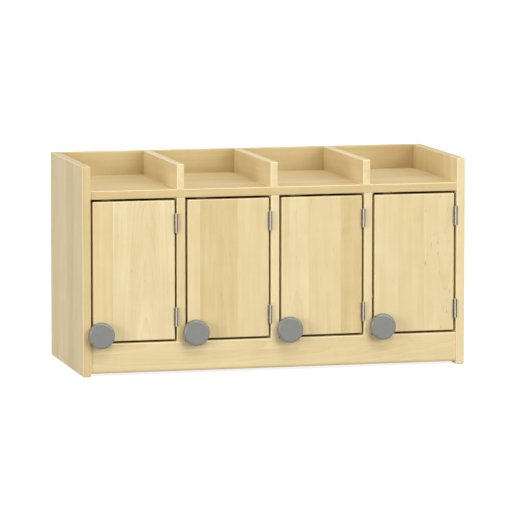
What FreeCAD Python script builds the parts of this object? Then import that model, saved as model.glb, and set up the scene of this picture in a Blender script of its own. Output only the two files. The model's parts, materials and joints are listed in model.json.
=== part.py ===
import FreeCAD, Part
import math
import os

# Cloakroom cabinet: a row of lockers with hinged doors under a row of open trays.
# Millimetres. +X is to the right seen from the front, +Y to the back, +Z up.
# The origin lies on the floor, under the middle of the whole object's box.

# Carcass
overall_width = 1000.0
overall_depth = 415.0
overall_height = 533.0
place_count = 4
board = 22.0             # sides, shelf, bottom, partitions and rail
back_board = 16.0
divider_board = 19.0     # between the trays
divider_creep = 1.5      # each divider stands this much further left of its partition than the one before
front_setback = 5.0      # the sides stand this far in front of what is between them
floor_clearance = 7.5    # under the rail and the back
rail_height = 75.0
tray_height = 63.0       # from the shelf's top to the top of the sides
edge_radius = 3.0

# Doors
door_board = 20.0
door_gap = 6.0           # at a door's top, bottom and free edge
door_edge_radius = 2.5

# Butt hinges
hinge_length = 46.0      # of the leaves, without the pin's tips
hinge_from_end = 57.0    # from a door's top or bottom edge to a hinge's middle
knuckle_count = 5
knuckle_gap = 0.3
leaf_thickness = 2.0
leaf_clearance = 1.6     # between the two closed leaves
leaf_on_wood = 17.0      # how far a leaf reaches back along the wood
leaf_corner_radius = 1.5
leaf_relief = 0.4        # between a leaf's edge and the other leaf's knuckles
pin_diameter = 4.6
pin_clearance = 0.05     # all round the pin
pin_head_diameter = 8.0
pin_tip_diameter = 3.6
pin_tip_length = 2.0
notch_clearance = 0.7    # round the barrels that stand beside the right side's front edge

# Knobs
knob_diameter = 66.0
knob_thickness = 19.0
knob_front_radius = 5.5
knob_back_radius = 2.5
knob_neck_diameter = 26.0
knob_side_clearance = 2.0    # between a knob's disc and the side that it overlaps
knob_from_edge = 18.2        # from the door's free edge to the knob's axis
knob_from_bottom = 17.4

# Magnetic catches under the shelf, and their plates on the doors
catch_from_edge = 40.0       # from the door's free edge to the catch's middle
catch_length = 46.0
catch_depth = 13.0
catch_ear_thickness = 3.0
catch_block_length = 25.0
catch_block_height = 20.0
catch_edge_radius = 1.0
catch_gap = 0.3              # between the closed door's plate and the poles
magnet_length = 19.0
magnet_depth = 9.0
magnet_thickness = 5.0
magnet_drop = 12.5           # from the shelf's underside to the magnet's middle
pole_thickness = 1.5
pole_reach = 0.6             # in front of the catch's block
strike_length = 36.0
strike_height = 11.0
strike_thickness = 1.2
strike_corner_radius = 2.0

# Fasteners
fastener_clearance = 0.05    # all round a screw or a dowel
hole_overrun = 0.2           # how far a screw hole's tool starts in front of the face
hole_end_clearance = 1.0     # past a screw's or a dowel's end
screw_tip = 3.0
sunk_screw = {"head": 5.8, "head_height": 1.4, "shank": 3.0, "length": 16.0}
back_screw = {"head": 8.0, "head_height": 2.0, "shank": 4.0, "length": 45.0}
catch_screw = {"head": 5.6, "crown": 3.9, "head_height": 2.0, "rim": 1.0, "shank": 3.0, "length": 15.0}
knob_screw = {"head": 9.5, "crown": 6.6, "head_height": 3.2, "rim": 1.6, "shank": 5.0}
knob_screw_bite = 15.0       # how far the screw goes into the knob
hinge_screw_spacing = 30.0
hinge_screw_setback = 9.5    # from the doors' front faces
strike_screw_spacing = 27.0
catch_screw_spacing = 36.0
dowel_diameter = 8.0
dowel_length = 32.0
dowel_in_face = 12.0         # the rest of a dowel goes into the other board's edge
dowel_chamfer = 1.0
dowel_margin = 40.0          # from a joint's ends to its first and last dowels
rail_dowel_margin = 18.0
divider_dowel_margin = 120.0
side_dowels = 4
partition_dowels = 3
divider_dowels = 2
rail_dowels = 2

# Wall fixing holes in the back, in the first and the last locker
wall_hole_diameter = 6.0
wall_hole_from_end = 45.0    # below the shelf and above the bottom

# Places that follow from the sizes
V = FreeCAD.Vector
LEFT = V(-1, 0, 0)
RIGHT = V(1, 0, 0)
FRONTWARD = V(0, -1, 0)
BACKWARD = V(0, 1, 0)
DOWN = V(0, 0, -1)
UP = V(0, 0, 1)

knob_neck_length = front_setback + knob_side_clearance
knob_reach = knob_neck_length + knob_thickness
hinge_gap = 2 * leaf_thickness + leaf_clearance
barrel_radius = pin_diameter / 2 + pin_clearance + leaf_thickness
knuckle_length = (hinge_length - (knuckle_count - 1) * knuckle_gap) / knuckle_count

left = -overall_width / 2
right = overall_width / 2
front = (knob_reach - front_setback - overall_depth) / 2
back = front + overall_depth
back_inner = back - back_board
door_face = front + front_setback
door_back = door_face + door_board
rail_back = door_face + board
rail_top = floor_clearance + rail_height
shelf_top = overall_height - tray_height
shelf_bottom = shelf_top - board
shelf_middle = shelf_top - board / 2
bottom_middle = rail_top - board / 2
pitch = (overall_width - board) / place_count
hinge_y = door_face - barrel_radius
door_bottom = rail_top + door_gap
door_top = shelf_bottom - door_gap
hinge_heights = {"lower": door_bottom + hinge_from_end, "upper": door_top - hinge_from_end}

parts = {}
groups = {}
holes = {}


def bay_left(place):
    return left + board + (place - 1) * pitch


def bay_right(place):
    return bay_left(place) + pitch - board


def bay_middle(place):
    return (bay_left(place) + bay_right(place)) / 2


def partition_middle(number):
    return bay_right(number) + board / 2


def divider_middle(number):
    return partition_middle(number) - number * divider_creep


def hinge_x(place):
    return bay_right(place) - hinge_gap / 2


def spread(low, high, count, margin):
    """Even places from margin inside low to margin inside high."""
    step = (high - low - 2 * margin) / (count - 1)
    return [low + margin + number * step for number in range(count)]


def block(x, y, z):
    """A box between pairs of limits."""
    return Part.makeBox(x[1] - x[0], y[1] - y[0], z[1] - z[0], V(x[0], y[0], z[0]))


def rounded_block(x, y, z, radius, corners=None):
    """A box with all its edges rounded, or only those where the named pairs of faces meet."""
    solid = block(x, y, z)
    if corners is None:
        return solid.makeFillet(radius, solid.Edges)
    faces = {"left": (0, x[0]), "right": (0, x[1]), "front": (1, y[0])}
    faces.update({"back": (1, y[1]), "bottom": (2, z[0]), "top": (2, z[1])})
    rounding_error = 1e-6

    def lies_on(edge, face):
        axis, value = faces[face]
        return abs(edge.CenterOfMass[axis] - value) < rounding_error

    edges = [edge for edge in solid.Edges if any(lies_on(edge, a) and lies_on(edge, b) for a, b in corners)]
    return solid.makeFillet(radius, edges)


def turned(outline, point, direction):
    """A solid turned from (radius, height) points, standing at a point along a direction."""
    points = [V(radius, 0, height) for radius, height in outline]
    wire = Part.makePolygon(points + [points[0]])
    solid = Part.Face(wire).revolve(V(0, 0, 0), UP, 360)
    return stood(solid, point, direction)


def stood(solid, point, direction):
    """A solid made along +Z from the origin, moved to a point and turned to a direction."""
    solid.Placement = FreeCAD.Placement(point, FreeCAD.Rotation(UP, direction))
    return solid


def add_hole(nodes, tool):
    for node in nodes:
        holes.setdefault(node, []).append(tool)


def add_sunk_screw(group, size, point, direction, nodes):
    """A countersunk wood screw, flush with the face at the point, and its hole."""
    head = size["head"] / 2
    shank = size["shank"] / 2
    neck = size["head_height"]
    length = size["length"]
    outline = [(0, 0), (head, 0), (shank, neck), (shank, length - screw_tip), (0, length)]
    groups.setdefault(group, []).append(turned(outline, point, direction))
    end = length + hole_end_clearance
    wide = head + fastener_clearance
    bore = shank + fastener_clearance
    tool = [(0, -hole_overrun), (wide, -hole_overrun), (wide, 0), (bore, neck), (bore, end), (0, end)]
    add_hole(nodes, turned(tool, point, direction))


def add_pan_screw(group, size, length, point, direction, nodes):
    """A pan head screw whose head stands on the face at the point, and its hole."""
    head = size["head"] / 2
    crown = size["crown"] / 2
    shank = size["shank"] / 2
    rise = size["head_height"]
    outline = [(0, -rise), (crown, -rise), (head, -size["rim"]), (head, 0), (shank, 0)]
    outline += [(shank, length - screw_tip), (0, length)]
    groups.setdefault(group, []).append(turned(outline, point, direction))
    end = length + hole_end_clearance
    bore = shank + fastener_clearance
    tool = [(0, -hole_overrun), (bore, -hole_overrun), (bore, end), (0, end)]
    add_hole(nodes, turned(tool, point, direction))


def add_dowel(point, direction, nodes):
    """A dowel across a joint: the direction points from the board's face into the other's edge."""
    radius = dowel_diameter / 2
    small = radius - dowel_chamfer
    start = -dowel_in_face
    end = start + dowel_length
    outline = [(0, start), (small, start), (radius, start + dowel_chamfer)]
    outline += [(radius, end - dowel_chamfer), (small, end), (0, end)]
    groups.setdefault("dowels", []).append(turned(outline, point, direction))
    bore = radius + fastener_clearance
    low = start - hole_end_clearance
    high = end + hole_end_clearance
    add_hole(nodes, turned([(0, low), (bore, low), (bore, high), (0, high)], point, direction))


# Boards of the carcass
def make_sides():
    y = (front, back)
    z = (0, overall_height)
    parts["side_panel_left"] = rounded_block((left, left + board), y, z, edge_radius)
    parts["side_panel_right"] = rounded_block((right - board, right), y, z, edge_radius)
    for height in hinge_heights.values():
        low = height - hinge_length / 2 - pin_tip_length - notch_clearance
        length = hinge_length + 2 * (pin_tip_length + notch_clearance)
        radius = barrel_radius + notch_clearance
        add_hole(["side_panel_right"], Part.makeCylinder(radius, length, V(hinge_x(place_count), hinge_y, low)))


def make_level_boards():
    x = (left + board, right - board)
    y = (door_face, back_inner)
    front_edges = [("front", "top"), ("front", "bottom")]
    parts["tray_shelf"] = rounded_block(x, y, (shelf_bottom, shelf_top), edge_radius, front_edges)
    parts["bottom_panel"] = block(x, (rail_back, back_inner), (rail_top - board, rail_top))
    z = (floor_clearance, rail_top)
    parts["front_rail"] = rounded_block(x, (door_face, rail_back), z, edge_radius, front_edges)


def make_back():
    x = (left + board, right - board)
    z = (floor_clearance, overall_height)
    top_edges = [("front", "top"), ("back", "top")]
    parts["back_panel"] = rounded_block(x, (back_inner, back), z, edge_radius, top_edges)
    for place in (1, place_count):
        for height in (rail_top + wall_hole_from_end, shelf_bottom - wall_hole_from_end):
            point = V(bay_middle(place), back_inner - hole_overrun, height)
            length = back_board + 2 * hole_overrun
            add_hole(["back_panel"], Part.makeCylinder(wall_hole_diameter / 2, length, point, BACKWARD))


def make_partitions():
    y = (door_face, back_inner)
    front_edges = [("front", "left"), ("front", "right")]
    open_edges = front_edges + [("front", "top"), ("left", "top"), ("right", "top")]
    for number in range(1, place_count):
        middle = partition_middle(number)
        x = (middle - board / 2, middle + board / 2)
        z = (rail_top, shelf_bottom)
        parts[f"partition_{number}"] = rounded_block(x, y, z, edge_radius, front_edges)
        middle = divider_middle(number)
        x = (middle - divider_board / 2, middle + divider_board / 2)
        z = (shelf_top, overall_height)
        parts[f"tray_divider_{number}"] = rounded_block(x, y, z, edge_radius, open_edges)


def join_boards():
    """Dowels between the boards, and screws from behind through the back."""
    y_back = back_inner + back_board / 2
    y_rail = door_face + board / 2
    for side, x, inward in (("left", left + board, RIGHT), ("right", right - board, LEFT)):
        panel = f"side_panel_{side}"
        for y in spread(door_face, back_inner, side_dowels, dowel_margin):
            add_dowel(V(x, y, shelf_middle), inward, [panel, "tray_shelf"])
        for y in spread(rail_back, back_inner, side_dowels, dowel_margin):
            add_dowel(V(x, y, bottom_middle), inward, [panel, "bottom_panel"])
        for z in spread(floor_clearance, rail_top, rail_dowels, rail_dowel_margin):
            add_dowel(V(x, y_rail, z), inward, [panel, "front_rail"])
        for z in spread(floor_clearance, overall_height, side_dowels, dowel_margin):
            add_dowel(V(x, y_back, z), inward, [panel, "back_panel"])
    for place in range(1, place_count + 1):
        x = bay_middle(place)
        add_dowel(V(x, rail_back, bottom_middle), BACKWARD, ["front_rail", "bottom_panel"])
        for z, node in ((shelf_middle, "tray_shelf"), (bottom_middle, "bottom_panel")):
            add_sunk_screw("back_screws", back_screw, V(x, back, z), FRONTWARD, ["back_panel", node])
    for number in range(1, place_count):
        x = partition_middle(number)
        x_divider = divider_middle(number)
        partition = f"partition_{number}"
        divider = f"tray_divider_{number}"
        for y in spread(rail_back, back_inner, partition_dowels, dowel_margin):
            add_dowel(V(x, y, rail_top), UP, ["bottom_panel", partition])
            add_dowel(V(x, y, shelf_bottom), DOWN, ["tray_shelf", partition])
        for y in spread(door_face, back_inner, divider_dowels, divider_dowel_margin):
            add_dowel(V(x_divider, y, shelf_top), UP, ["tray_shelf", divider])
        half_locker = (rail_top + shelf_bottom) / 2
        half_tray = shelf_top + tray_height / 2
        add_sunk_screw("back_screws", back_screw, V(x, back, half_locker), FRONTWARD, ["back_panel", partition])
        add_sunk_screw("back_screws", back_screw, V(x_divider, back, half_tray), FRONTWARD, ["back_panel", divider])


# Doors and what is on them
def make_door(place):
    x = (bay_left(place) + door_gap, bay_right(place) - hinge_gap)
    parts[f"door_{place}"] = rounded_block(x, (door_face, door_back), (door_bottom, door_top), door_edge_radius)


def knob_solid():
    """A round knob along +Z: a neck, and a disc with a small rounding behind and a larger one in front."""
    neck = knob_neck_diameter / 2
    rim = knob_diameter / 2
    behind = knob_neck_length
    bend = math.cos(math.pi / 4)
    back_ring = V(rim - knob_back_radius, 0, behind + knob_back_radius)
    front_ring = V(rim - knob_front_radius, 0, knob_reach - knob_front_radius)
    points = [
        V(0, 0, 0),
        V(neck, 0, 0),
        V(neck, 0, behind),
        V(back_ring.x, 0, behind),
        V(rim, 0, back_ring.z),
        V(rim, 0, front_ring.z),
        V(front_ring.x, 0, knob_reach),
        V(0, 0, knob_reach),
    ]
    lines = [(0, 1), (1, 2), (2, 3), (4, 5), (6, 7), (7, 0)]
    edges = [Part.makeLine(points[a], points[b]) for a, b in lines]
    back_bend = back_ring + V(bend, 0, -bend) * knob_back_radius
    front_bend = front_ring + V(bend, 0, bend) * knob_front_radius
    edges.append(Part.Arc(points[3], back_bend, points[4]).toShape())
    edges.append(Part.Arc(points[5], front_bend, points[6]).toShape())
    wire = Part.Wire(Part.__sortEdges__(edges))
    return Part.Face(wire).revolve(V(0, 0, 0), UP, 360)


def make_knob(place):
    x = bay_left(place) + door_gap + knob_from_edge
    z = door_bottom + knob_from_bottom
    parts[f"knob_{place}"] = stood(knob_solid(), V(x, door_face, z), FRONTWARD)
    nodes = [f"door_{place}", f"knob_{place}"]
    length = door_board + knob_screw_bite
    add_pan_screw(f"knob_screw_{place}", knob_screw, length, V(x, door_back, z), FRONTWARD, nodes)


def hinge_leaf(place, height, side, knuckles):
    """One leaf with its knuckles: side is 1 for the leaf on the frame, -1 for the door's."""
    x = hinge_x(place)
    low = height - hinge_length / 2
    inner = x + side * leaf_clearance / 2
    limits = sorted((inner, inner + side * leaf_thickness))
    plate_front = hinge_y + barrel_radius + leaf_relief
    y = (plate_front, door_face + leaf_on_wood)
    far_corners = [("back", "top"), ("back", "bottom")]
    plate = rounded_block(limits, y, (low, low + hinge_length), leaf_corner_radius, far_corners)
    curls = []
    for number in knuckles:
        z = low + number * (knuckle_length + knuckle_gap)
        curls.append(Part.makeCylinder(barrel_radius, knuckle_length, V(x, hinge_y, z)))
        curls.append(block(limits, (hinge_y, plate_front), (z, z + knuckle_length)))
    bore = Part.makeCylinder(pin_diameter / 2 + pin_clearance, hinge_length, V(x, hinge_y, low))
    return plate.fuse(curls).removeSplitter().cut(bore)


def make_hinge(place, end):
    height = hinge_heights[end]
    frame = "side_panel_right" if place == place_count else f"partition_{place}"
    frame_leaf = f"hinge_frame_leaf_{place}_{end}"
    door_leaf = f"hinge_door_leaf_{place}_{end}"
    parts[frame_leaf] = hinge_leaf(place, height, 1, range(0, knuckle_count, 2))
    parts[door_leaf] = hinge_leaf(place, height, -1, range(1, knuckle_count, 2))
    pin = pin_diameter / 2
    head = pin_head_diameter / 2
    tip = pin_tip_diameter / 2
    outline = [(0, -pin_tip_length), (tip, -pin_tip_length), (head, 0), (pin, 0), (pin, hinge_length)]
    outline += [(head, hinge_length), (tip, hinge_length + pin_tip_length), (0, hinge_length + pin_tip_length)]
    foot = V(hinge_x(place), hinge_y, height - hinge_length / 2)
    groups.setdefault("hinge_pins", []).append(turned(outline, foot, UP))
    y = door_face + hinge_screw_setback
    for z in (height - hinge_screw_spacing / 2, height + hinge_screw_spacing / 2):
        point = V(hinge_x(place) + leaf_clearance / 2, y, z)
        add_sunk_screw("hinge_frame_screws", sunk_screw, point, RIGHT, [frame_leaf, frame])
        point = V(hinge_x(place) - leaf_clearance / 2, y, z)
        add_sunk_screw(f"door_screws_{place}", sunk_screw, point, LEFT, [door_leaf, f"door_{place}"])


def make_catch(place):
    """A magnetic catch under the shelf: a moulded body, and a magnet between two poles in its pocket."""
    middle = bay_left(place) + door_gap + catch_from_edge
    pole_front = door_back + strike_thickness + catch_gap
    body_front = pole_front + pole_reach
    y = (body_front, body_front + catch_depth)
    x = (middle - catch_length / 2, middle + catch_length / 2)
    ears = rounded_block(x, y, (shelf_bottom - catch_ear_thickness, shelf_bottom), catch_edge_radius,
                         [("left", "front"), ("left", "back"), ("right", "front"), ("right", "back")])
    x = (middle - catch_block_length / 2, middle + catch_block_length / 2)
    z = (shelf_bottom - catch_block_height, shelf_bottom)
    low_edges = [("left", "bottom"), ("right", "bottom"), ("front", "bottom"), ("back", "bottom")]
    body = ears.fuse(rounded_block(x, y, z, catch_edge_radius, low_edges)).removeSplitter()
    stack = magnet_thickness / 2 + pole_thickness
    centre = shelf_bottom - magnet_drop
    wide = magnet_length / 2 + fastener_clearance
    high = stack + fastener_clearance
    pocket_back = body_front + magnet_depth + fastener_clearance
    pocket = block((middle - wide, middle + wide), (body_front - hole_overrun, pocket_back),
                   (centre - high, centre + high))
    parts[f"catch_{place}"] = body.cut(pocket)
    x = (middle - magnet_length / 2, middle + magnet_length / 2)
    pole_y = (pole_front, body_front + magnet_depth)
    magnet_y = (body_front, body_front + magnet_depth)
    inside = magnet_thickness / 2
    groups.setdefault("catch_magnets", []).extend([
        block(x, pole_y, (centre - stack, centre - inside)),
        block(x, magnet_y, (centre - inside, centre + inside)),
        block(x, pole_y, (centre + inside, centre + stack)),
    ])
    for shift in (-catch_screw_spacing / 2, catch_screw_spacing / 2):
        point = V(middle + shift, body_front + catch_depth / 2, shelf_bottom - catch_ear_thickness)
        nodes = [f"catch_{place}", "tray_shelf"]
        add_pan_screw("catch_screws", catch_screw, catch_screw["length"], point, UP, nodes)


def make_strike(place):
    """The steel plate on the door's inner face that the catch's poles hold."""
    middle = bay_left(place) + door_gap + catch_from_edge
    centre = shelf_bottom - magnet_drop
    x = (middle - strike_length / 2, middle + strike_length / 2)
    y = (door_back, door_back + strike_thickness)
    z = (centre - strike_height / 2, centre + strike_height / 2)
    corners = [("left", "top"), ("left", "bottom"), ("right", "top"), ("right", "bottom")]
    parts[f"strike_plate_{place}"] = rounded_block(x, y, z, strike_corner_radius, corners)
    for shift in (-strike_screw_spacing / 2, strike_screw_spacing / 2):
        point = V(middle + shift, y[1], centre)
        nodes = [f"strike_plate_{place}", f"door_{place}"]
        add_sunk_screw(f"door_screws_{place}", sunk_screw, point, FRONTWARD, nodes)


def write_parts():
    """Cut each piece's holes and write one file per piece or group."""
    os.makedirs("parts", exist_ok=True)
    for node, tools in holes.items():
        parts[node] = parts[node].cut(tools)
    for node, shape in parts.items():
        assert shape.isValid() and len(shape.Solids) == 1, node
        shape.Solids[0].exportStep(f"parts/{node}.step")
    for node, solids in groups.items():
        assert all(solid.isValid() for solid in solids), node
        Part.makeCompound(solids).exportStep(f"parts/{node}.step")
    print(len(parts) + len(groups), "nodes")


make_sides()
make_level_boards()
make_back()
make_partitions()
join_boards()
for place in range(1, place_count + 1):
    make_door(place)
    make_knob(place)
    for end in hinge_heights:
        make_hinge(place, end)
    make_catch(place)
    make_strike(place)
write_parts()
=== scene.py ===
"""Looks of a cloakroom cabinet: birch, grey knobs, steel hinges, screws and catches, on a stage."""

import json
import math
import random
from typing import NamedTuple

import bmesh
import bpy
from bpy.props import FloatProperty, FloatVectorProperty, IntProperty, PointerProperty
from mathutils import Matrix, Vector

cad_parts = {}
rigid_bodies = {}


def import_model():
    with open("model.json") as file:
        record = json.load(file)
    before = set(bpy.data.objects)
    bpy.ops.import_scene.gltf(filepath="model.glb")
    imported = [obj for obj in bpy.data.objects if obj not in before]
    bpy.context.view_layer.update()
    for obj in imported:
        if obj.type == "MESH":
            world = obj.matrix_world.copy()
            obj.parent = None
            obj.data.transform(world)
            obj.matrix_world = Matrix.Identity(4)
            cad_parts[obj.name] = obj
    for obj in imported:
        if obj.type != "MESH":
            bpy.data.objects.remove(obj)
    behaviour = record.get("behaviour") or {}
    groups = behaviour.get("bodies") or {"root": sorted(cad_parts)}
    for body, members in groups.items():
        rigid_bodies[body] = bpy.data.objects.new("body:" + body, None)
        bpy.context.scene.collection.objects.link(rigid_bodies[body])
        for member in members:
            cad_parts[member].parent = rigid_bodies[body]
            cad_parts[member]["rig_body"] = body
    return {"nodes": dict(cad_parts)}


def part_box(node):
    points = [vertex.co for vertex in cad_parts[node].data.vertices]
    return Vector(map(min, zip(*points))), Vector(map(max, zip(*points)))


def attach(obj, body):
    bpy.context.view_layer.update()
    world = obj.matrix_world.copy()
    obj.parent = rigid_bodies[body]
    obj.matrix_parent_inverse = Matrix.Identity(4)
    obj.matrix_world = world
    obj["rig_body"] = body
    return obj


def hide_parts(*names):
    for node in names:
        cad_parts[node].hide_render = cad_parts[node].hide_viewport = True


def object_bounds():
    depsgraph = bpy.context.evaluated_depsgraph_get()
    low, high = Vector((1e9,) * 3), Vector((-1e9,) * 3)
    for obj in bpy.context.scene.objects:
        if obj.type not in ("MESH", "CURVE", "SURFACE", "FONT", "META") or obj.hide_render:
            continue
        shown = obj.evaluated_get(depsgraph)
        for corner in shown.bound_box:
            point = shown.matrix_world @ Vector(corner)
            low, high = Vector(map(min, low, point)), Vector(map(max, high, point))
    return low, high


bl_info = {
    "name": "Cloakroom cabinet looks",
    "version": (1, 0, 0),
    "blender": (4, 5, 0),
    "location": "3D View > Sidebar > Cabinet",
    "description": "Dresses the boards, knobs, hinges, screws and catches, and sets the stage",
    "category": "Object",
}

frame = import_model()
cad_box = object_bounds()

X, Y, Z = 0, 1, 2
PLACES = (1, 2, 3, 4)
DIVISIONS = PLACES[:-1]
HINGE_ENDS = ("lower", "upper")

# Lengths are in metres. Staves from a board's low edge: width, tone from 0, pale, to 1, tan, and, where
# they differ from PLAIN_FIGURE, how strongly rings and flecks show. The last runs to the other edge.
PLAIN_FIGURE = (0.25, 0.25)
DOOR_STAVES = {
    1: [(0.050, 0.62, 0.15, 0.20), (0.170, 0.35, 0.80, 0.40)],
    2: [(0.032, 0.47, 0.20, 0.15), (0.096, 0.82, 0.30, 0.25), (0.090, 0.55, 0.15, 0.10)],
    3: [(0.072, 0.43, 0.45, 0.40), (0.083, 0.47, 0.30, 0.30), (0.090, 0.84, 0.25, 0.45)],
    4: [(0.064, 0.44, 0.20, 0.20), (0.066, 0.56, 0.15, 0.15), (0.090, 0.48, 0.55, 1.00)],
}
SIDE_STAVES = {
    "left": [(0.0032, 0.90), (0.104, 0.50), (0.092, 0.70), (0.116, 0.38), (0.110, 0.52)],
    "right": [(0.060, 0.28), (0.110, 0.62), (0.098, 0.54), (0.130, 0.66)],
}
PARTITION_STAVES = {
    1: [(0.070, 0.62), (0.104, 0.43), (0.112, 0.63), (0.120, 0.49)],
    2: [(0.082, 0.20), (0.100, 0.55), (0.094, 0.44), (0.130, 0.59)],
    3: [(0.076, 0.38), (0.112, 0.53), (0.090, 0.64), (0.130, 0.46)],
}
SHELF_STAVES = [(0.0035, 0.96), (0.060, 0.81), (0.095, 0.59), (0.080, 0.73), (0.120, 0.59)]
# The rail's lowest stave, 5 mm high and darker, is painted shade under its rounded bottom edge.
RAIL_STAVES = [(0.005, 1.10, 0.10, 0.10), (0.043, 0.53, 0.60, 0.20), (0.040, 0.44, 0.60, 0.20)]
BACK_STAVES = [
    (0.096, 0.52), (0.104, 0.64), (0.088, 0.50),
    (0.110, 0.66), (0.064, 0.58), (0.100, 0.66),
]
DIVIDER_STAVES = [(0.080, 0.60)]
STAVE_WIDTH = (0.055, 0.110)
STAVE_TONE = (0.40, 0.70)

# Edges of the boards
END_GRAIN_DEPTH = 0.0015
FACE_DEPTH = 0.0015
EDGE_MASK_WIDTH = (0.0009, 0.003)  # where the painted edge highlight and the coat are full, and in all
GLUE_LINE = 0.0003
GLUED_SHARE = 0.49  # of the width, on each side of the middle
END_TONE = 0.3
SIDE_END_TONE = 0.75
DIVIDER_END_TONE = -0.30

# Painted shade in the trays' corners: how far it reaches and how dark it is
LEFT_TRAY_SHADE = (0.10, 0.20)
RIGHT_TRAY_SHADE = (0.20, 0.34)
DIVIDER_TRAY_SHADE = (0.07, 0.20)

# Noise drawn out along the grain: cycles per metre along and across it, and detail
RING_WAVES = (2.2, 16.0, 2.0)
FIBRES = (7.0, 900.0, 3.0)
STREAKS = (1.6, 55.0, 3.0)
CLOUDS = (9.0, 26.0, 2.0)
CURL = (45.0, 9.0, 2.0)
FLECKS = (42.0, 210.0, 1.0)
FLECK_LIMITS = (0.66, 0.82)

# Growth rings: the least distance and the spread of their pith, and the waves in them
PITH_ASIDE = 0.06
PITH_BEHIND = 0.02
PITH_SPREAD = 0.05
PITH_SLANT = 0.20
RING_WAVE = 0.020
LATE_WOOD_POWER = 4.0

# Factors that turn a stave's seed into other random numbers
PITH_SEED = 7.3
SLANT_SEED = 3.7
SEED_SPREAD = 40.0

# What each layer of the figure adds to a stave's tone, to the marks in it, and to its gloss and height
STREAK_TONE, CLOUD_TONE, CURL_TONE, RING_TONE = 0.62, 0.55, 0.16, 0.30
LATE_WOOD_MARK, FIBRE_MARK, FLECK_MARK, GLUE_MARK = 0.14, 0.26, 0.62, 0.20
FIBRE_ROUGHNESS, FIBRE_RELIEF, LATE_WOOD_HEIGHT = 0.16, 0.35, 0.3

# Noise of the fittings: cycles per metre along X, Y and Z
RAY_CYCLES = (700.0, 700.0, 700.0)
TEXTURE_CYCLES = (2600.0, 2600.0, 2600.0)
FLOW_CYCLES = (40.0, 40.0, 40.0)
HAZE_CYCLES = (60.0, 60.0, 60.0)
FERRITE_CYCLES = (1800.0, 1800.0, 1800.0)
UPRIGHT_LINES = (2600.0, 2600.0, 90.0)
LEVEL_LINES = (90.0, 2600.0, 2600.0)
PLATED_LINES = (700.0, 700.0, 700.0)
FINE_DETAIL = 3.0
NOISE_MIDDLE = 0.5

# Beech, moulded plastic, rolled steel and magnets: how strongly noise marks the colour, how much it
# changes the roughness, and the strength and height of its relief
RAY_LEVEL, RAY_MARK = 0.4, 0.8
BEECH_ROUGHNESS, RAY_ROUGHNESS = 0.55, 0.2
MOULDED_DARK, TEXTURE_MARK, FLOW_MARK = 0.86, 0.5, 0.5
TEXTURE_ROUGHNESS, FLOW_ROUGHNESS = 0.15, 0.1
TEXTURE_RELIEF, TEXTURE_HEIGHT = 0.15, 0.0001
STEEL_DARK, STEEL_DULL, LINE_MARK, HAZE_MARK = 0.62, 0.25, 0.7, 0.6
LINE_ROUGHNESS, HAZE_ROUGHNESS = 0.3, 0.15
LINE_RELIEF, LINE_HEIGHT = 0.2, 0.00005
FERRITE_LIGHT, FERRITE_ROUGHNESS, GRAIN_ROUGHNESS = 1.8, 0.62, 0.2
POLE_SHARE, POLE_SMOOTHNESS = 0.625, 0.25

# Hinge barrels, with a painted dark reflection on their flanks and a painted bright line between them
REFLECTION_FLANKS = (0.20, 0.60)  # shares of the radius where the painted dark reflection begins and is full
FLANK_REFLECTION_STRENGTH = 0.90
PAINTED_HIGHLIGHT_SHIFT = 0.0008  # to the left of the middle

# Screws
WELD = 1e-6  # points closer than this are one
LEVEL = 1e-5  # points this close to an end or an axis lie on it
THINNEST_SHANK = 0.2  # of the head's radius
WIDEST_SHANK = 1.01  # of the least radius found
POINT_LENGTH = 2.0  # in shank radii
PAN_DOME = ((0.05, 0.45), (0.18, 0.75), (0.50, 0.95), (0.80, 1.0))  # of the head's height and radius
CRISP_ANGLE = math.radians(25.0)

# Sockets, by number, that share their names with others of their node
MIX_FACTOR, MIX_FIRST, MIX_SECOND, MIX_RESULT = 0, 6, 7, 2
RANDOM_LEAST, RANDOM_MOST, RANDOM_RESULT = 2, 3, 1


def srgb(red, green, blue):
    """A linear colour from 8-bit screen values."""
    shares = [value / 255 for value in (red, green, blue)]
    return tuple(s / 12.92 if s <= 0.04045 else ((s + 0.055) / 1.055) ** 2.4 for s in shares)


def colour_property(name, description, default):
    return FloatVectorProperty(name=name, description=description, default=default,
                               subtype="COLOR", size=3, min=0.0, max=1.0)


def length_property(name, description, default):
    return FloatProperty(name=name, description=description, default=default,
                         unit="LENGTH", min=0.0, precision=5)


def share_property(name, description, default):
    return FloatProperty(name=name, description=description, default=default,
                         subtype="FACTOR", min=0.0, max=1.0)


def place_property(name, description, default):
    return FloatVectorProperty(name=name, description=description, default=default,
                               subtype="TRANSLATION", unit="LENGTH", size=3)


def angle_property(name, description, degrees):
    return FloatProperty(name=name, description=description, default=math.radians(degrees),
                         subtype="ANGLE")


def power_property(name, description, default):
    return FloatProperty(name=name, description=description, default=default, unit="POWER")


class BirchSettings(bpy.types.PropertyGroup):
    """Colours and figure of the lacquered birch boards."""

    pale: colour_property("Pale stave", "Colour of the lightest staves", srgb(249, 232, 187))
    tan: colour_property("Tan stave", "Colour of the darkest staves", srgb(222, 197, 142))
    grain: colour_property("Grain", "Colour of ring edges, fibres and flecks", srgb(168, 126, 74))
    ring_spacing: length_property("Ring spacing", "Distance between growth rings", 0.0042)
    roughness: share_property("Lacquer roughness", "Roughness of the satin lacquer", 0.34)
    fibre_height: length_property("Fibre height", "Height of the fibres under the lacquer", 0.00012)
    gloss: share_property("Lacquer gloss", "How much the lacquer reflects", 0.03)
    # The paler board edges are a painted highlight along every edge.
    painted_edge_highlight: share_property("Sanded edges", "How much paler the sanded edges are", 0.60)
    # The back board is darker partly in its own tone and partly as painted shade of the trays.
    back_tone_and_shade: share_property("Back light", "How light the back board is beside the others", 0.80)


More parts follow.
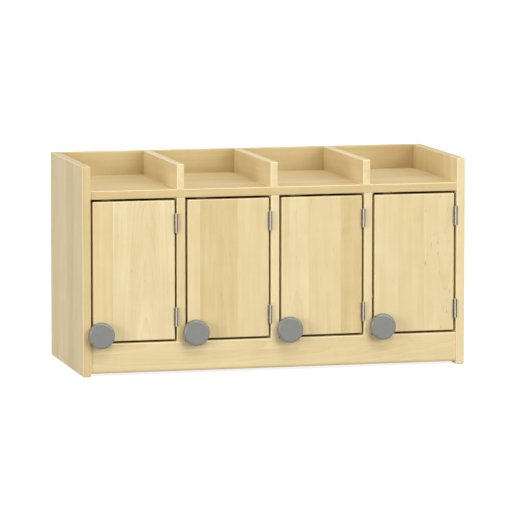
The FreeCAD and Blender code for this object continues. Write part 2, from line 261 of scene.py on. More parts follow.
class FittingSettings(bpy.types.PropertyGroup):
    """Finishes of the knobs, hinges, screws and catches."""

    knob: colour_property("Knob", "Colour of the moulded knobs", srgb(133, 134, 130))
    knob_gloss: share_property("Knob gloss", "How much the moulded knobs reflect", 0.70)
    knob_roughness: share_property("Knob roughness", "Roughness of the moulded knobs", 0.27)
    hinge: colour_property("Hinge steel", "Colour of the rolled hinges", srgb(206, 202, 194))
    # Colour of the painted dark reflection on the hinge barrels' flanks.
    flank_reflection: colour_property("Tarnish", "Colour of the hinge barrels' flanks", srgb(66, 57, 46))
    hinge_roughness: share_property("Hinge roughness", "Roughness of the rolled hinges", 0.18)
    screw: colour_property("Screw steel", "Colour of the plated screws", srgb(208, 206, 200))
    screw_roughness: share_property("Screw roughness", "Roughness of the plated screws", 0.30)
    catch: colour_property("Catch", "Colour of the catches' moulded bodies", srgb(122, 94, 64))
    ferrite: colour_property("Ferrite", "Colour of the catches' magnets", srgb(58, 57, 58))
    dowel: colour_property("Dowel", "Colour of the beech dowels", srgb(214, 170, 122))


class ScrewSettings(bpy.types.PropertyGroup):
    """What a screw has besides the sizes of its solid."""

    recess_reach: share_property(
        "Recess reach", "Cross recess across, as a share of the head", 0.58)
    recess_width: share_property(
        "Recess width", "Width of the recess's arms, as a share of the head", 0.15)
    recess_depth: share_property(
        "Recess depth", "Depth of the recess, as a share of the head's height", 0.75)
    sides: IntProperty(name="Sides", description="Flats round a screw", default=32, min=8, max=64)
    turn_seed: IntProperty(
        name="Turn seed", description="Seed of the angles at which screws stopped", default=7)


class StageSettings(bpy.types.PropertyGroup):
    """Camera, lamps and floor."""

    camera_place: place_property("Camera place", "Where the camera stands", (-2.505, -10.147, 1.518))
    camera_tilt: angle_property("Camera tilt", "How far the camera looks down", 6.825)
    camera_turn: angle_property("Camera turn", "How far the camera looks to the right", 13.872)
    lens: FloatProperty(
        name="Lens", description="Focal length on a 36 mm sensor", unit="CAMERA", default=284.8)
    ambient: FloatProperty(
        name="Ambient", description="Strength of the light from all round", default=0.54)
    key_place: place_property("Key place", "Where the key lamp hangs", (4.20, -7.55, 3.10))
    key_size: length_property("Key size", "Side of the square key lamp", 4.5)
    key_power: power_property("Key power", "Power of the key lamp", 295.0)
    fill_place: place_property("Fill place", "Where the fill lamp hangs", (-6.20, -3.60, 1.30))
    fill_size: length_property("Fill size", "Side of the square fill lamp", 2.6)
    fill_power: power_property("Fill power", "Power of the fill lamp", 172.0)
    top_place: place_property("Top place", "Where the top lamp hangs", (0.50, -5.00, 7.50))
    top_size: length_property("Top size", "Side of the square top lamp", 3.0)
    top_power: power_property("Top power", "Power of the top lamp", 190.0)
    rear_place: place_property("Rear place", "Where the rear lamp hangs", (0.80, 7.00, 0.80))
    rear_size: length_property("Rear size", "Side of the square rear lamp", 1.4)
    rear_power: power_property("Rear power", "Power of the rear lamp", 205.0)
    floor_size: length_property("Floor size", "Side of the square floor", 60.0)
    floor_drop: length_property("Floor drop", "How far the floor lies under the feet", 0.0003)
    floor: share_property("Floor", "How pale the floor is to the light that it throws back", 0.28)
    floor_shade: share_property("Floor shade", "Share of the seen floor that takes the shadow", 0.24)
    floor_lift: share_property("Floor lift", "Share of the seen floor that stays white", 0.875)


class Wire:
    """An output in a node tree, or the tree alone. Arithmetic on wires and numbers adds Math nodes."""

    def __init__(self, tree, socket=None):
        self.tree = tree
        self.socket = socket

    def add(self, kind, settings=(), links=(), output=0):
        """Add a node: its settings, then its sockets' values or wires. Gives one of its outputs."""
        node = self.tree.nodes.new(kind)
        for name, value in dict(settings).items():
            if name == "stops":
                set_stops(node.color_ramp, value)
            else:
                setattr(node, name, value)
        for name, value in dict(links).items():
            for one in value if isinstance(value, list) else [value]:
                if isinstance(one, Wire):
                    self.tree.links.new(one.socket, node.inputs[name])
                else:
                    node.inputs[name].default_value = one
        return Wire(self.tree, node.outputs[output]) if len(node.outputs) else None

    def outputs(self):
        """Every output of this wire's node."""
        return [Wire(self.tree, socket) for socket in self.socket.node.outputs]

    def math(self, operation, *values):
        return self.add("ShaderNodeMath", {"operation": operation}, enumerate(values))

    def __add__(self, other):
        return self.math("ADD", self, other)

    def __radd__(self, other):
        return self.math("ADD", other, self)

    def __sub__(self, other):
        return self.math("SUBTRACT", self, other)

    def __rsub__(self, other):
        return self.math("SUBTRACT", other, self)

    def __mul__(self, other):
        return self.math("MULTIPLY", self, other)

    def __truediv__(self, other):
        return self.math("DIVIDE", self, other)

    def __pow__(self, power):
        return self.math("POWER", self, power)

    def __lt__(self, other):
        return self.math("LESS_THAN", self, other)

    def __gt__(self, other):
        return self.math("GREATER_THAN", self, other)

    def fade(self, low, high):
        """0 below low, 1 above high, and smooth between."""
        limits = {"Value": self, "From Min": low, "From Max": high}
        return self.add("ShaderNodeMapRange", {"interpolation_type": "SMOOTHSTEP"}, limits)

    def swing(self, amount):
        """Noise, which lies about its middle, as a change by the amount up or down."""
        return (self - NOISE_MIDDLE) * amount

    def blend(self, first, second):
        """The first colour where this wire is 0, the second where it is 1."""
        links = {MIX_FACTOR: self, MIX_FIRST: opaque(first), MIX_SECOND: opaque(second)}
        return self.add("ShaderNodeMix", {"data_type": "RGBA"}, links, MIX_RESULT)


def opaque(colour):
    return colour if isinstance(colour, Wire) else (*colour, 1.0)


def set_stops(ramp, stops):
    """Fill a ramp with (position, colour) pairs, each colour held up to the next stop."""
    ramp.interpolation = "CONSTANT"
    for position, colour in stops[1:]:
        ramp.elements.new(position).color = colour
    ramp.elements.remove(ramp.elements[len(stops)])
    ramp.elements[0].position, ramp.elements[0].color = stops[0]


def new_material(name):
    material = bpy.data.materials.new(name)
    material.use_nodes = True
    material.node_tree.nodes.clear()
    return material, Wire(material.node_tree)


def finish_surface(start, links):
    """End a material in one Principled surface."""
    surface = start.add("ShaderNodeBsdfPrincipled", {}, links)
    start.add("ShaderNodeOutputMaterial", {}, {"Surface": surface})


def object_axes(start):
    place = start.add("ShaderNodeTexCoord", output="Object")
    return start.add("ShaderNodeSeparateXYZ", {}, {"Vector": place}).outputs()


def noise(start, x, y, z, detail=2.0):
    """Smooth noise at three coordinates, about its middle."""
    place = start.add("ShaderNodeCombineXYZ", {}, {"X": x, "Y": y, "Z": z})
    return start.add("ShaderNodeTexNoise", {}, {"Vector": place, "Scale": 1.0, "Detail": detail})


def noise_at(start, axes, cycles, detail=2.0):
    """Noise in the object's own space, with its cycles per metre along each axis."""
    return noise(start, *(axis * rate for axis, rate in zip(axes, cycles)), detail)


def relief(start, strength, distance, height):
    """A normal that is bent by a height, 1 of which is the distance."""
    return start.add("ShaderNodeBump", {}, {
        "Strength": strength, "Distance": distance, "Height": height})


def scaled(colour, share):
    return tuple(value * share for value in colour)


def dress(node, material):
    """Give a CAD node's object one material in all its slots."""
    data = frame["nodes"][node].data
    for index in range(len(data.materials)):
        data.materials[index] = material


# Birch boards
def random_staves(board_name, width):
    """Staves of uneven widths and tones, the same at each run."""
    draw = random.Random(board_name)
    staves = []
    while sum(stave[0] for stave in staves) < width:
        staves.append((draw.uniform(*STAVE_WIDTH), draw.uniform(*STAVE_TONE)))
    return staves


def stave_stops(board_name, width, staves):
    """Two ramps across a board. One holds each stave's middle, seed and tone, with half its width as
    alpha, and the other how strongly its rings and flecks show."""
    draw = random.Random(f"{board_name} seeds")
    shapes = []
    figures = []
    low = 0.0
    for index, (stave, tone, *figure) in enumerate(staves):
        high = 1.0 if index == len(staves) - 1 else min(1.0, low + stave / width)
        if low < 1.0:
            rings, flecks = figure or PLAIN_FIGURE
            shapes.append((low, ((low + high) / 2, draw.random(), tone, (high - low) / 2)))
            figures.append((low, (rings, flecks, 0.0, 1.0)))
        low = high
    return shapes, figures


def box_edge_mask(start, axes, low, high):
    """1 along the edges of a board's box, and 0 on its faces."""
    rims = []
    for axis, place in enumerate(axes):
        half = (high[axis] - low[axis]) / 2
        inward = half - start.math("ABSOLUTE", place - (low[axis] + half))
        rims.append(1.0 - inward.fade(*EDGE_MASK_WIDTH))
    x, y, z = rims
    return start.math("MINIMUM", x * y + y * z + x * z, 1.0)


def birch(board_name, grain, across, staves, end_tone=END_TONE, light=1.0, shade_spots=()):
    """Edge-glued staves, each with its own rings, fibres, streaks and flecks along the grain. The light
    scales a board's colours, and on the back board it is partly painted shade; the shade spots are
    places along its grain where painted shade darkens its low face."""
    settings = bpy.context.scene.birch
    low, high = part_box(board_name)
    through = X + Y + Z - grain - across
    width = high[across] - low[across]
    length = high[grain] - low[grain]
    material, start = new_material(f"birch_{board_name}")
    axes = object_axes(start)
    along = axes[grain] - low[grain]
    share = (axes[across] - low[across]) / width
    depth = axes[through] - low[through]
    shapes, figures = stave_stops(board_name, width, staves or random_staves(board_name, width))
    stave = start.add("ShaderNodeValToRGB", {"stops": shapes}, {0: share})
    half = stave.outputs()[1]
    middle, seed, tone = start.add("ShaderNodeSeparateColor", {}, {"Color": stave}).outputs()
    strengths = start.add("ShaderNodeValToRGB", {"stops": figures}, {0: share})
    channels = start.add("ShaderNodeSeparateColor", {}, {"Color": strengths}).outputs()
    ring_strength, fleck_strength = channels[:2]
    sideways = (share - middle) * width

    def figure(cycles_along, cycles_across, detail):
        """Noise drawn out along the grain, different on each stave."""
        return noise(start, along * cycles_along + seed * SEED_SPREAD, sideways * cycles_across,
                     depth * cycles_across, detail)

    # Growth rings round a pith that lies behind the stave and slants along it
    pith = start.math("FRACT", seed * PITH_SEED)
    slant = start.math("FRACT", seed * SLANT_SEED).swing(PITH_SLANT)
    aside = sideways + pith.swing(PITH_ASIDE)
    behind = depth + PITH_BEHIND + pith * PITH_SPREAD + along * slant
    radius = (aside * aside + behind * behind) ** 0.5
    turns = (radius + figure(*RING_WAVES).swing(RING_WAVE)) / settings.ring_spacing
    late_wood = start.math("FRACT", turns) ** LATE_WOOD_POWER
    ring_tone = start.add("ShaderNodeTexWhiteNoise", {"noise_dimensions": "1D"},
                          {"W": start.math("FLOOR", turns) + seed})

    fibres = figure(*FIBRES)
    flecks = figure(*FLECKS).fade(*FLECK_LIMITS)
    seam = (half - start.math("ABSOLUTE", share - middle)) * width < GLUE_LINE
    inside = start.math("ABSOLUTE", share - 0.5) < GLUED_SHARE
    end_grain = start.math("ABSOLUTE", along - length / 2) > length / 2 - END_GRAIN_DEPTH
    edge_highlight_and_coat = box_edge_mask(start, axes, low, high)

    shade = tone + figure(*STREAKS).swing(STREAK_TONE) + figure(*CLOUDS).swing(CLOUD_TONE)
    shade = shade + figure(*CURL).swing(CURL_TONE) + ring_tone.swing(ring_strength) * RING_TONE
    # Every edge is painted paler as a highlight; the same edge mask also gives the edges a real clear
    # coat.
    shade = shade + end_grain * end_tone - edge_highlight_and_coat * settings.painted_edge_highlight
    marks = late_wood * ring_strength * LATE_WOOD_MARK + fibres.swing(FIBRE_MARK)
    marks = marks + flecks * fleck_strength * FLECK_MARK + seam * inside * GLUE_MARK
    # Painted shade: the board's low face darkens near each tray corner.
    for place, reach, shade_darkness in shade_spots:
        away = start.math("ABSOLUTE", axes[grain] - place)
        marks = marks + (1.0 - away.fade(0.0, reach)) * (depth < FACE_DEPTH) * shade_darkness
    colours = (settings.pale, settings.tan, settings.grain)
    pale, tan, dark = [scaled(colour, light) for colour in colours]
    height = fibres + late_wood * LATE_WOOD_HEIGHT
    finish_surface(start, {
        "Base Color": marks.blend(shade.blend(pale, tan), dark),
        "Roughness": settings.roughness + fibres.swing(FIBRE_ROUGHNESS),
        "Specular IOR Level": settings.gloss,
        "Coat Weight": edge_highlight_and_coat,
        "Coat Roughness": settings.roughness,
        "Normal": relief(start, FIBRE_RELIEF, settings.fibre_height, height),
    })
    return material


def painted_tray_shade():
    """Where painted shade darkens the back board: beside the dividers, and most at its right end."""
    low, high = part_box("back_panel")
    corners = [(low.x, *LEFT_TRAY_SHADE), (high.x, *RIGHT_TRAY_SHADE)]
    for number in DIVISIONS:
        low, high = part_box(f"tray_divider_{number}")
        corners.append(((low.x + high.x) / 2, *DIVIDER_TRAY_SHADE))
    return corners


def beech():
    """Turned beech with short rays."""
    scene = bpy.context.scene
    material, start = new_material("beech_dowels")
    rays = noise_at(start, object_axes(start), RAY_CYCLES, FINE_DETAIL)
    marks = (rays - RAY_LEVEL) * RAY_MARK
    finish_surface(start, {
        "Base Color": marks.blend(scene.fittings.dowel, scene.birch.grain),
        "Roughness": BEECH_ROUGHNESS + rays.swing(RAY_ROUGHNESS),
    })
    return material


class CABINET_OT_dress_carcass(bpy.types.Operator):
    """Give the carcass's boards their birch staves, and the dowels their beech"""

    bl_idname = "cabinet.dress_carcass"
    bl_label = "Dress the carcass"

    def execute(self, context):
        # The back board's darker colour is partly its own tone and partly painted shade of the trays.
        back_tone_and_shade = context.scene.birch.back_tone_and_shade
        boards = {
            "side_panel_left": (Z, Y, SIDE_STAVES["left"], SIDE_END_TONE),
            "side_panel_right": (Z, Y, SIDE_STAVES["right"], SIDE_END_TONE),
            "tray_shelf": (X, Y, SHELF_STAVES),
            "bottom_panel": (X, Y, None),
            "front_rail": (X, Z, RAIL_STAVES),
            "back_panel": (X, Z, BACK_STAVES, END_TONE, back_tone_and_shade, painted_tray_shade()),
        }
        for number in DIVISIONS:
            boards[f"partition_{number}"] = (Z, Y, PARTITION_STAVES[number])
            boards[f"tray_divider_{number}"] = (Y, Z, DIVIDER_STAVES, DIVIDER_END_TONE)
        for board_name, choices in boards.items():
            dress(board_name, birch(board_name, *choices))
        dress("dowels", beech())
        return {"FINISHED"}


class CABINET_OT_dress_doors(bpy.types.Operator):
    """Give the doors their birch staves"""

    bl_idname = "cabinet.dress_doors"
    bl_label = "Dress the doors"

    def execute(self, context):
        for place in PLACES:
            dress(f"door_{place}", birch(f"door_{place}", Z, X, DOOR_STAVES[place]))
        return {"FINISHED"}


# Knobs
def moulded(name, colour, roughness, gloss):
    """Moulded plastic with a fine eroded texture and faint flow marks."""
    material, start = new_material(name)
    axes = object_axes(start)
    texture = noise_at(start, axes, TEXTURE_CYCLES)
    flow = noise_at(start, axes, FLOW_CYCLES)
    mottle = texture.swing(TEXTURE_MARK) + flow * FLOW_MARK
    finish_surface(start, {
        "Base Color": mottle.blend(colour, scaled(colour, MOULDED_DARK)),
        "Roughness": roughness + texture.swing(TEXTURE_ROUGHNESS) + flow.swing(FLOW_ROUGHNESS),
        "Specular IOR Level": gloss,
        "Normal": relief(start, TEXTURE_RELIEF, TEXTURE_HEIGHT, texture),
    })
    return material


class CABINET_OT_dress_knobs(bpy.types.Operator):
    """Give the knobs their grey moulded plastic"""

    bl_idname = "cabinet.dress_knobs"
    bl_label = "Dress the knobs"

    def execute(self, context):
        settings = context.scene.fittings
        plastic = moulded("grey_knob_plastic", settings.knob,
                          settings.knob_roughness, settings.knob_gloss)
        for place in PLACES:
            dress(f"knob_{place}", plastic)
        return {"FINISHED"}


# Hinges
def rolled_steel(name, colour, roughness, cycles, barrel=None):
    """Steel with fine lines: their cycles per metre along X, Y and Z set which way they run. A barrel,
    given as its middle and radius along X, gets a painted dark reflection on its flanks, which leaves a
    painted bright line at its middle."""
    material, start = new_material(name)
    axes = object_axes(start)
    lines = noise_at(start, axes, cycles, FINE_DETAIL)
    haze = noise_at(start, axes, HAZE_CYCLES)
    dull = lines.swing(LINE_MARK) + haze.swing(HAZE_MARK) + STEEL_DULL
    steel_colour = dull.blend(colour, scaled(colour, STEEL_DARK))
    if barrel:
        middle, radius = barrel
        # Painted dark reflection on the barrel's flanks, leaving a painted bright line between.
        flank = (start.math("ABSOLUTE", axes[X] - middle) / radius).fade(*REFLECTION_FLANKS)
        steel_colour = (flank * FLANK_REFLECTION_STRENGTH).blend(steel_colour, bpy.context.scene.fittings.flank_reflection)
    finish_surface(start, {
        "Base Color": steel_colour,
        "Metallic": 1.0,
        "Roughness": roughness + lines.swing(LINE_ROUGHNESS) + haze.swing(HAZE_ROUGHNESS),
        "Normal": relief(start, LINE_RELIEF, LINE_HEIGHT, lines),
    })
    return material


class CABINET_OT_dress_hinges(bpy.types.Operator):
    """Give the hinges' leaves and pins their rolled steel"""

    bl_idname = "cabinet.dress_hinges"
    bl_label = "Dress the hinges"

    def execute(self, context):
        settings = context.scene.fittings
        finish = (settings.hinge, settings.hinge_roughness, UPRIGHT_LINES)
        for place in PLACES:
            low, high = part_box(f"hinge_door_leaf_{place}_lower")
            # The painted bright line is moved a little left of the barrel's middle.
            barrel = ((low.x + high.x) / 2 - PAINTED_HIGHLIGHT_SHIFT, (high.x - low.x) / 2)
            steel = rolled_steel(f"hinge_steel_{place}", *finish, barrel)
            for end in HINGE_ENDS:
                dress(f"hinge_frame_leaf_{place}_{end}", steel)
                dress(f"hinge_door_leaf_{place}_{end}", steel)
        dress("hinge_pins", rolled_steel("hinge_steel_pins", *finish))
        return {"FINISHED"}


# Catches
def magnet_stack():
    """A ferrite magnet between two steel poles, told apart by height."""
    settings = bpy.context.scene.fittings
    low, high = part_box("catch_magnets")
    material, start = new_material("magnet_and_poles")
    axes = object_axes(start)
    from_middle = start.math("ABSOLUTE", axes[Z] - (low.z + high.z) / 2)
    pole = from_middle > (high.z - low.z) / 2 * POLE_SHARE
    grains = noise_at(start, axes, FERRITE_CYCLES, FINE_DETAIL)
    ferrite = grains.blend(settings.ferrite, scaled(settings.ferrite, FERRITE_LIGHT))
    finish_surface(start, {
        "Base Color": pole.blend(ferrite, settings.screw),
        "Metallic": pole,
        "Roughness": FERRITE_ROUGHNESS - pole * POLE_SMOOTHNESS + grains.swing(GRAIN_ROUGHNESS),
    })
    return material


class CABINET_OT_dress_catches(bpy.types.Operator):
    """Give the magnetic catches, their magnets and the strike plates their finishes"""

    bl_idname = "cabinet.dress_catches"
    bl_label = "Dress the catches"

    def execute(self, context):
        settings = context.scene.fittings
        plastic = moulded("brown_catch_plastic", settings.catch,
                          settings.knob_roughness, settings.knob_gloss)
        plate = rolled_steel("strike_plate_steel", settings.screw,
                             settings.screw_roughness, LEVEL_LINES)
        for place in PLACES:
            dress(f"catch_{place}", plastic)
            dress(f"strike_plate_{place}", plate)
        dress("catch_magnets", magnet_stack())
        return {"FINISHED"}


# Screws
class Screw(NamedTuple):
    """A screw's place at the top of its head, its direction, and its sizes by their inputs' names."""

    place: Vector
    direction: Vector
    sizes: dict


def solids_of(node):
    """The corner points of each separate solid in a CAD node."""
    welded = bmesh.new()
    welded.from_mesh(frame["nodes"][node].data)
    bmesh.ops.remove_doubles(welded, verts=welded.verts, dist=WELD)
    seen = set()
    solids = []
    for first in welded.verts:
        if first in seen:
            continue
        seen.add(first)
        todo = [first]
        points = []
        while todo:
            vert = todo.pop()
            points.append(vert.co.copy())
            for edge in vert.link_edges:
                other = edge.other_vert(vert)
                if other not in seen:
                    seen.add(other)
                    todo.append(other)
        solids.append(points)
    welded.free()
    return solids


def measure_screw(points):
    """The screw that a solid's points belong to. Its head is at the wider end."""
    low = Vector(map(min, zip(*points)))
    high = Vector(map(max, zip(*points)))
    spans = high - low
    axis = max((X, Y, Z), key=lambda one: spans[one])
    middle = (low + high) / 2

    def radius(point):
        off = point - middle
        off[axis] = 0.0
        return off.length

    ends = {}
    for sign, end in ((1, low[axis]), (-1, high[axis])):
        ends[sign] = max(radius(point) for point in points if abs(point[axis] - end) < LEVEL)
    sign = max(ends, key=ends.get)
    top = low[axis] if sign > 0 else high[axis]
    head = max(radius(point) for point in points)
    shank = min(radius(point) for point in points if radius(point) > THINNEST_SHANK * head)
    on_shank = [point for point in points if LEVEL < radius(point) < WIDEST_SHANK * shank]
    neck = min(abs(point[axis] - top) for point in on_shank)
    place = middle.copy()
    place[axis] = top
    direction = Vector((0.0, 0.0, 0.0))
    direction[axis] = sign
    sizes = {"Head": head, "Neck": neck, "Shank": shank, "Length": spans[axis]}
    return Screw(place, direction, sizes)


def screw_tree(name, stations):
    """A tree that turns a screw from stations, cuts its cross recess and sets one at each point.
    The stations give (depth, radius) pairs from the tree's Head, Neck, Shank and Length inputs."""
    tree = bpy.data.node_groups.new(name, "GeometryNodeTree")
    tree.interface.new_socket("Points", in_out="INPUT", socket_type="NodeSocketGeometry")
    for size in ("Head", "Neck", "Shank", "Length", "Recess Reach", "Recess Width", "Recess Depth"):
        tree.interface.new_socket(size, in_out="INPUT", socket_type="NodeSocketFloat")
    for count in ("Sides", "Turn Seed"):
        tree.interface.new_socket(count, in_out="INPUT", socket_type="NodeSocketInt")
    tree.interface.new_socket("Steel", in_out="INPUT", socket_type="NodeSocketMaterial")
    tree.interface.new_socket("Screws", in_out="OUTPUT", socket_type="NodeSocketGeometry")
    start = Wire(tree)
    inputs = {wire.socket.name: wire for wire in start.add("NodeGroupInput").outputs()}
    rings = stations(inputs["Head"], inputs["Neck"], inputs["Shank"], inputs["Length"])
    bands = []
    for (top, wide), (bottom, narrow) in zip(rings, rings[1:]):
        cone = start.add("GeometryNodeMeshCone", {"fill_type": "NONE"}, {
            "Vertices": inputs["Sides"], "Depth": bottom - top,
            "Radius Bottom": wide, "Radius Top": narrow})
        moved = start.add("ShaderNodeCombineXYZ", {}, {"Z": top})
        bands.append(start.add("GeometryNodeTransform", {}, {"Geometry": cone, "Translation": moved}))
    joined = start.add("GeometryNodeJoinGeometry", {}, {"Geometry": bands})
    body = start.add("GeometryNodeMergeByDistance", {}, {"Geometry": joined, "Distance": WELD})
    head_across = inputs["Head"] * 2.0
    twice_neck = inputs["Neck"] * 2.0
    arms = []
    for x, y in (("Recess Reach", "Recess Width"), ("Recess Width", "Recess Reach")):
        size = start.add("ShaderNodeCombineXYZ", {}, {
            "X": inputs[x] * head_across,
            "Y": inputs[y] * head_across,
            "Z": inputs["Recess Depth"] * twice_neck})
        arms.append(start.add("GeometryNodeMeshCube", {}, {"Size": size}))
    cut = start.add("GeometryNodeMeshBoolean", {"operation": "DIFFERENCE"}, {
        "Mesh 1": body, "Mesh 2": arms})
    smooth = start.add("GeometryNodeSetShadeSmooth", {}, {"Geometry": cut})
    angle = start.add("GeometryNodeInputMeshEdgeAngle")
    crisp = start.add("GeometryNodeSetShadeSmooth", {"domain": "EDGE"}, {
        "Geometry": smooth, "Selection": angle > CRISP_ANGLE, "Shade Smooth": False})
    drive = start.add("GeometryNodeInputNamedAttribute", {"data_type": "FLOAT_VECTOR"}, {
        "Name": "drive"})
    aligned = start.add("FunctionNodeAlignRotationToVector", {"axis": "Z"}, {"Vector": drive})
    turn = start.add("FunctionNodeRandomValue", {"data_type": "FLOAT"}, {
        RANDOM_LEAST: 0.0, RANDOM_MOST: math.tau, "Seed": inputs["Turn Seed"]}, RANDOM_RESULT)
    twist = start.add("FunctionNodeAxisAngleToRotation", {}, {"Axis": (0.0, 0.0, 1.0), "Angle": turn})
    turned = start.add("FunctionNodeRotateRotation", {"rotation_space": "LOCAL"}, {
        "Rotation": aligned, "Rotate By": twist})
    placed = start.add("GeometryNodeInstanceOnPoints", {}, {
        "Points": inputs["Points"], "Instance": crisp, "Rotation": turned})
    real = start.add("GeometryNodeRealizeInstances", {}, {"Geometry": placed})
    shown = start.add("GeometryNodeSetMaterial", {}, {"Geometry": real, "Material": inputs["Steel"]})
    start.add("NodeGroupOutput", {}, {"Screws": shown})
    return tree


def sunk_stations(head, neck, shank, length):
    """A countersunk head flush with the wood, a shank and a point."""
    tip = length - shank * POINT_LENGTH
    return [(0.0, 0.0), (0.0, head), (neck, shank), (tip, shank), (length, 0.0)]


def pan_stations(head, neck, shank, length):
    """A domed pan head, a shank and a point."""
    dome = [(neck * depth, head * wide) for depth, wide in PAN_DOME]
    tip = length - shank * POINT_LENGTH
    return [(0.0, 0.0), *dome, (neck, head), (neck, shank), (tip, shank), (length, 0.0)]


class CABINET_OT_drive_screws(bpy.types.Operator):
    """Put turned screws with cross recesses in place of the plain ones"""

    bl_idname = "cabinet.drive_screws"
    bl_label = "Drive the screws"

    def execute(self, context):
        fittings = context.scene.fittings
        steel = rolled_steel("plated_screw_steel", fittings.screw,
                             fittings.screw_roughness, PLATED_LINES)
        sunk = screw_tree("countersunk_screw", sunk_stations)
        pan = screw_tree("pan_head_screw", pan_stations)
        groups = {"hinge_frame_screws": sunk, "back_screws": sunk, "catch_screws": pan}
        for place in PLACES:
            groups[f"door_screws_{place}"] = sunk
            groups[f"knob_screw_{place}"] = pan
        for node, tree in groups.items():
            self.drive(context, node, tree, steel)
        return {"FINISHED"}

    def drive(self, context, node, tree, steel):
        """Make one group of screws from its tree and let it stand for the CAD node."""
        settings = context.scene.screws
        measured = [measure_screw(points) for points in solids_of(node)]
        points = bpy.data.meshes.new(f"{node}_points")
        points.from_pydata([screw.place for screw in measured], [], [])
        drive = points.attributes.new("drive", "FLOAT_VECTOR", "POINT")
        for value, screw in zip(drive.data, measured):
            value.vector = screw.direction
        holder = bpy.data.objects.new(f"{node}_points", points)
        context.scene.collection.objects.link(holder)
        modifier = holder.modifiers.new("Screws", "NODES")
        modifier.node_group = tree
        values = {
            **measured[0].sizes,
            "Recess Reach": settings.recess_reach,
            "Recess Width": settings.recess_width,
            "Recess Depth": settings.recess_depth,
            "Sides": settings.sides,
            "Turn Seed": settings.turn_seed,
            "Steel": steel,
        }
        for item in tree.interface.items_tree:
            if item.in_out == "INPUT" and item.name in values:
                modifier[item.identifier] = values[item.name]
        depsgraph = context.evaluated_depsgraph_get()
        mesh = bpy.data.meshes.new_from_object(holder.evaluated_get(depsgraph))
        if not mesh.polygons:
            raise RuntimeError(f"{node}: the screw tree made no faces")
        bpy.data.objects.remove(holder)
        driven = bpy.data.objects.new(f"driven_{node}", mesh)
        context.scene.collection.objects.link(driven)
        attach(driven, frame["nodes"][node]["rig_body"])
        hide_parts(node)


# Stage
def seen_ray(start):
    """1 for rays that end in the picture: straight from the camera, or by way of gloss or glass."""
    rays = {wire.socket.name: wire for wire in start.add("ShaderNodeLightPath").outputs()}
    seen = rays["Is Camera Ray"] + rays["Is Glossy Ray"] + rays["Is Transmission Ray"]
    return start.math("MINIMUM", seen, 1.0)


def floor_material(settings):
    """Pale to the light, and white with the object's shadow in the picture."""
    material, start = new_material("pale_floor")
    pale = start.add("ShaderNodeBsdfDiffuse", {}, {"Color": opaque((settings.floor,) * 3)})
    shade = start.add("ShaderNodeBsdfDiffuse", {}, {"Color": opaque((settings.floor_shade,) * 3)})
    lift = start.add("ShaderNodeEmission", {}, {"Strength": settings.floor_lift})
    shown = start.add("ShaderNodeAddShader", {}, {0: shade, 1: lift})
    both = start.add("ShaderNodeMixShader", {}, {0: seen_ray(start), 1: pale, 2: shown})
    start.add("ShaderNodeOutputMaterial", {}, {"Surface": both})
    return material


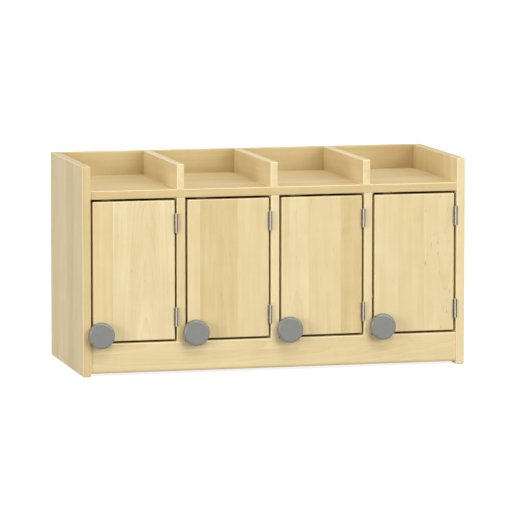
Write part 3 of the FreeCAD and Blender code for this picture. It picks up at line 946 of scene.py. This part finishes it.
class CABINET_OT_set_stage(bpy.types.Operator):
    """Set the floor, the lamps, the world and the camera"""

    bl_idname = "cabinet.set_stage"
    bl_label = "Set the stage"

    def execute(self, context):
        settings = context.scene.stage
        self.lay_floor(context, settings)
        self.light_world(context, settings)
        lamps = {}
        for name in ("key", "fill", "top", "rear"):
            traits = [getattr(settings, f"{name}_{trait}") for trait in ("place", "size", "power")]
            lamps[name] = self.hang_lamp(context, name, *traits)
        lamps["rear"].visible_glossy = False
        self.stand_camera(context, settings)
        context.scene.view_settings.view_transform = "Standard"
        return {"FINISHED"}

    def lay_floor(self, context, settings):
        half = settings.floor_size / 2
        corners = [(-half, -half), (half, -half), (half, half), (-half, half)]
        mesh = bpy.data.meshes.new("floor")
        mesh.from_pydata([(x, y, -settings.floor_drop) for x, y in corners], [], [(0, 1, 2, 3)])
        mesh.materials.append(floor_material(settings))
        floor = bpy.data.objects.new("floor", mesh)
        context.scene.collection.objects.link(floor)

    def light_world(self, context, settings):
        world = bpy.data.worlds.new("studio")
        world.use_nodes = True
        world.node_tree.nodes.clear()
        context.scene.world = world
        start = Wire(world.node_tree)
        white = (1.0, 1.0, 1.0, 1.0)
        ambient = start.add("ShaderNodeBackground", {}, {"Color": white, "Strength": settings.ambient})
        backdrop = start.add("ShaderNodeBackground", {}, {"Color": white, "Strength": 1.0})
        both = start.add("ShaderNodeMixShader", {}, {0: seen_ray(start), 1: ambient, 2: backdrop})
        start.add("ShaderNodeOutputWorld", {}, {"Surface": both})

    def hang_lamp(self, context, name, place, size, power):
        """A square lamp that faces the middle of the cabinet."""
        lamp = bpy.data.lights.new(name, "AREA")
        lamp.energy = power
        lamp.size = size
        holder = bpy.data.objects.new(name, lamp)
        holder.location = place
        middle = (cad_box[0] + cad_box[1]) / 2
        holder.rotation_euler = (middle - holder.location).to_track_quat("-Z", "Y").to_euler()
        holder.visible_camera = False
        context.scene.collection.objects.link(holder)
        return holder

    def stand_camera(self, context, settings):
        lens = bpy.data.cameras.new("camera")
        lens.lens = settings.lens
        camera = bpy.data.objects.new("camera", lens)
        camera.location = settings.camera_place
        camera.rotation_euler = (math.pi / 2 - settings.camera_tilt, 0.0, -settings.camera_turn)
        context.scene.collection.objects.link(camera)
        context.scene.camera = camera


STEPS = (
    CABINET_OT_dress_carcass,
    CABINET_OT_dress_doors,
    CABINET_OT_dress_knobs,
    CABINET_OT_dress_hinges,
    CABINET_OT_dress_catches,
    CABINET_OT_drive_screws,
    CABINET_OT_set_stage,
)
SETTINGS = {
    "birch": BirchSettings,
    "fittings": FittingSettings,
    "screws": ScrewSettings,
    "stage": StageSettings,
}


class CABINET_PT_sidebar(bpy.types.Panel):
    """The cabinet's settings and steps"""

    bl_idname = "CABINET_PT_sidebar"
    bl_label = "Cabinet"
    bl_space_type = "VIEW_3D"
    bl_region_type = "UI"
    bl_category = "Cabinet"

    def draw(self, context):
        for name, group in SETTINGS.items():
            box = self.layout.box()
            for field in group.__annotations__:
                box.prop(getattr(context.scene, name), field)
        for step in STEPS:
            self.layout.operator(step.bl_idname)


def register():
    for name, group in SETTINGS.items():
        bpy.utils.register_class(group)
        setattr(bpy.types.Scene, name, PointerProperty(type=group))
    for step in STEPS:
        bpy.utils.register_class(step)
    bpy.utils.register_class(CABINET_PT_sidebar)


def unregister():
    bpy.utils.unregister_class(CABINET_PT_sidebar)
    for step in reversed(STEPS):
        bpy.utils.unregister_class(step)
    for name, group in reversed(SETTINGS.items()):
        delattr(bpy.types.Scene, name)
        bpy.utils.unregister_class(group)


def main():
    register()
    bpy.ops.cabinet.dress_carcass()
    bpy.ops.cabinet.dress_doors()
    bpy.ops.cabinet.dress_knobs()
    bpy.ops.cabinet.dress_hinges()
    bpy.ops.cabinet.dress_catches()
    bpy.ops.cabinet.drive_screws()
    bpy.ops.cabinet.set_stage()


if __name__ == "__main__":
    main()
